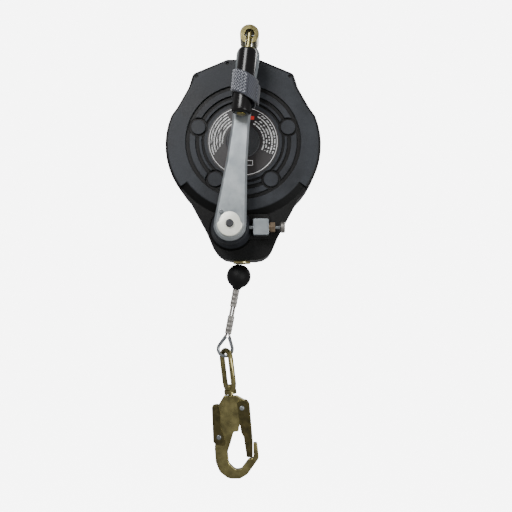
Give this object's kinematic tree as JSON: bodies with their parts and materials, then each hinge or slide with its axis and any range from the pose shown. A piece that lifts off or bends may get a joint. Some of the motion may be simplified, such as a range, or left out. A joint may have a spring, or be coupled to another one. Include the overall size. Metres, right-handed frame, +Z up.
{
  "type": "self retracting lifeline",
  "caption": "Retractable steel-cable fall arrester with a folding rescue crank, swivelling anchor eye, ball stop, thimble, swivel bail and double-locking snap hook.",
  "frame": {"origin": "bearing point of the anchorage eye: the highest point of its hole, on the swivel axis", "axes": "+Z up along the swivel axis, -Y towards the crank and the label, +X to the right when facing the crank"},
  "size_m": [0.2432, 0.1797, 0.7],
  "materials": {
    "housing_paint": "fine orange-peel powder coat",
    "cast_aluminium": "satin cast",
    "zinc_yellow_steel": "olive-yellow zinc passivated",
    "plain_steel": "plain bright",
    "dark_steel": "dark phosphated",
    "galvanised_steel": "dull galvanised",
    "brass": "turned",
    "bronze": "brown bronze",
    "black_rubber": "matt moulded",
    "grip_plastic": "glossy moulded",
    "label_film": "printed film",
    "strap_webbing": "woven webbing",
    "drum_plastic": "moulded",
    "brake_lining": "moulded friction lining"
  },
  "bodies": {
    "anchor": {"anchor_eye": "plain_steel", "anchor_nut": "plain_steel"},
    "housing": {"front_shell": "housing_paint", "rear_shell": "housing_paint", "anchor_block": "dark_steel", "anchor_bush": "bronze", "main_axle": "plain_steel", "axle_nut": "plain_steel", "spring_cassette": "dark_steel", "power_spring": "plain_steel", "catch_ring": "dark_steel", "brake_pad": "brake_lining", "brake_plate": "dark_steel", "label_plate": "label_film", "centre_cap": "housing_paint", "gland": "brass", "crank_bush": "bronze", "plunger_block": "cast_aluminium", "plunger_nut": "bronze", "plunger_spring": "plain_steel", "lifeline_run": "galvanised_steel", "lifeline_stretch": "galvanised_steel", "housing_screw_1": "plain_steel", "housing_screw_2": "plain_steel", "housing_screw_3": "plain_steel", "housing_screw_4": "plain_steel", "housing_screw_5": "plain_steel", "housing_screw_6": "plain_steel"},
    "drum": {"drum": "drum_plastic", "drum_gear": "dark_steel", "rope_pack": "galvanised_steel", "pawl_pin_a": "plain_steel", "pawl_pin_b": "plain_steel"},
    "pawl_a": {"pawl_a": "dark_steel"},
    "pawl_b": {"pawl_b": "dark_steel"},
    "line_end": {"ball_stop": "black_rubber", "lifeline_eye": "galvanised_steel", "ferrule_upper": "galvanised_steel", "ferrule_lower": "galvanised_steel", "thimble": "galvanised_steel"},
    "bail": {"bail": "zinc_yellow_steel"},
    "hook": {"hook_body": "zinc_yellow_steel", "swivel_stud": "plain_steel", "gate_rivet": "plain_steel", "lever_rivet": "plain_steel"},
    "gate": {"gate": "zinc_yellow_steel"},
    "lock_lever": {"lock_lever": "zinc_yellow_steel"},
    "plunger": {"plunger_pin": "plain_steel", "plunger_knob": "galvanised_steel"},
    "shift_sleeve": {"shift_sleeve": "plain_steel"},
    "crank": {"pinion_shaft": "plain_steel", "crank_arm": "cast_aluminium", "hub_disc": "cast_aluminium", "hub_screw": "dark_steel", "hub_pin": "plain_steel", "grip_socket": "zinc_yellow_steel", "socket_pin": "plain_steel", "grip_strap": "strap_webbing"},
    "grip_fold": {"grip_spindle": "plain_steel"},
    "grip": {"grip": "grip_plastic"}
  },
  "joints": [
    {"name": "housing_swivel", "type": "hinge", "parent": "anchor", "child": "housing", "pos_m": [0, 0, -0.0344], "axis": [0, 0, 1], "continuous": true},
    {"name": "drum_spin", "type": "hinge", "parent": "housing", "child": "drum", "pos_m": [0, 0, -0.167], "axis": [0, 1, 0], "range_deg": [0, 360], "stiffness_Nm_per_rad": 0.12, "springref_deg": -1031.32},
    {"name": "line_out", "type": "slide", "parent": "housing", "child": "line_end", "axis": [-0.1805, 0, -0.9836], "range_m": [0, 0.5027], "deforming": ["lifeline_stretch"]},
    {"name": "pawl_a_tilt", "type": "hinge", "parent": "drum", "child": "pawl_a", "pos_m": [0.062, 0, -0.167], "axis": [0, 1, 0], "range_deg": [0, 8], "stiffness_Nm_per_rad": 0.02, "springref_deg": -22.92},
    {"name": "pawl_b_tilt", "type": "hinge", "parent": "drum", "child": "pawl_b", "pos_m": [-0.062, 0, -0.167], "axis": [0, 1, 0], "range_deg": [0, 8], "stiffness_Nm_per_rad": 0.02, "springref_deg": -22.92},
    {"name": "bail_swing", "type": "hinge", "parent": "line_end", "child": "bail", "pos_m": [-0.02873, 0, -0.48991], "axis": [0, 1, 0], "range_deg": [-40, 40]},
    {"name": "hook_swivel", "type": "hinge", "parent": "bail", "child": "hook", "pos_m": [-0.0204, 0, -0.557], "axis": [0.1232, 0, -0.9924], "continuous": true},
    {"name": "gate_open", "type": "hinge", "parent": "hook", "child": "gate", "pos_m": [-0.0019, 0, -0.5811], "axis": [0, 1, 0], "range_deg": [0, 22], "stiffness_Nm_per_rad": 0.12, "springref_deg": -28.65},
    {"name": "lever_press", "type": "hinge", "parent": "hook", "child": "lock_lever", "pos_m": [-0.0376, 0, -0.626], "axis": [0, 1, 0], "range_deg": [0, 6], "stiffness_Nm_per_rad": 0.12, "springref_deg": -28.65},
    {"name": "plunger_pull", "type": "slide", "parent": "housing", "child": "plunger", "axis": [1, 0, 0], "range_m": [0, 0.0045], "stiffness_N_per_m": 900, "springref_m": -0.005, "deforming": ["plunger_spring"]},
    {"name": "crank_shift", "type": "slide", "parent": "housing", "child": "shift_sleeve", "axis": [0, 1, 0], "range_m": [0, 0.01]},
    {"name": "crank_turn", "type": "hinge", "parent": "shift_sleeve", "child": "crank", "pos_m": [-0.018, -0.095, -0.3023], "axis": [0, 1, 0], "continuous": true},
    {"name": "grip_unfold", "type": "hinge", "parent": "crank", "child": "grip_fold", "pos_m": [0.01059, -0.111, -0.02799], "axis": [-0.9946, 0, 0.1037], "range_deg": [0, 90], "deforming": ["grip_strap"]},
    {"name": "grip_spin", "type": "hinge", "parent": "grip_fold", "child": "grip", "pos_m": [0.00437, -0.111, -0.08766], "axis": [0.1037, 0, 0.9946], "continuous": true}
  ],
  "couplings": [
    {"joint": "line_out", "follows": "drum_spin", "m_per_rad": 0.08}
  ]
}
